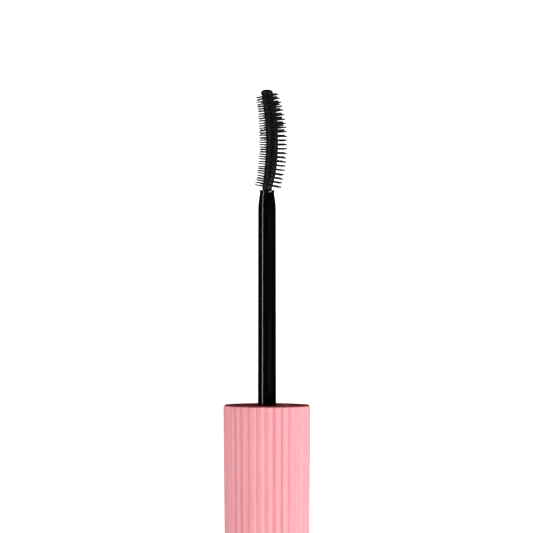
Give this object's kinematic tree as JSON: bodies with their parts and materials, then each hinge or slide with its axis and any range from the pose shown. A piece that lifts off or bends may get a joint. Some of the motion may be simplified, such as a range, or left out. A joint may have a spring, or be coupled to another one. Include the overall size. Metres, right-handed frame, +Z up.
{
  "type": "mascara tube",
  "caption": "Opened mascara lying on its side: fluted cap with rod and curved moulded brush, and the fluted tube in line with it, which the brush slides and screws into.",
  "frame": {"origin": "on the surface it lies on, below the middle of the opened mascara's length", "axes": "+X along the centreline from the cap's closed end to the tube's base, +Z up; the brush arches towards -Y"},
  "size_m": [0.243, 0.02, 0.0199],
  "materials": {
    "shell": "satin pink moulding",
    "inner_moulding": "dark maroon polypropylene, semi-gloss",
    "steel": "turned, bright",
    "washer": "soft foamed polyethylene",
    "rod": "polished black",
    "brush": "black moulded elastomer",
    "wiper": "soft black insert",
    "mascara": "wet black paste",
    "base_cap": "satin pink moulding",
    "label": "blank matt sticker"
  },
  "bodies": {
    "tube": {"tube_sleeve": "shell", "inner_bottle": "inner_moulding", "wiper": "wiper", "mascara_fill": "mascara", "base_cap": "base_cap", "base_label": "label"},
    "washer": {"seal_washer": "washer"},
    "applicator": {"cap_shell": "shell", "cap_liner": "inner_moulding", "cap_weight": "steel", "rod": "rod", "brush": "brush"}
  },
  "joints": [
    {"name": "wand_slide", "type": "slide", "parent": "tube", "child": "washer", "axis": [1, 0, 0], "range_m": [0, 0.1147], "deforming": ["wiper"]},
    {"name": "cap_turn", "type": "hinge", "parent": "washer", "child": "applicator", "pos_m": [-0.0715, 0, 0.00996], "axis": [1, 0, 0], "range_deg": [0, 720]}
  ]
}
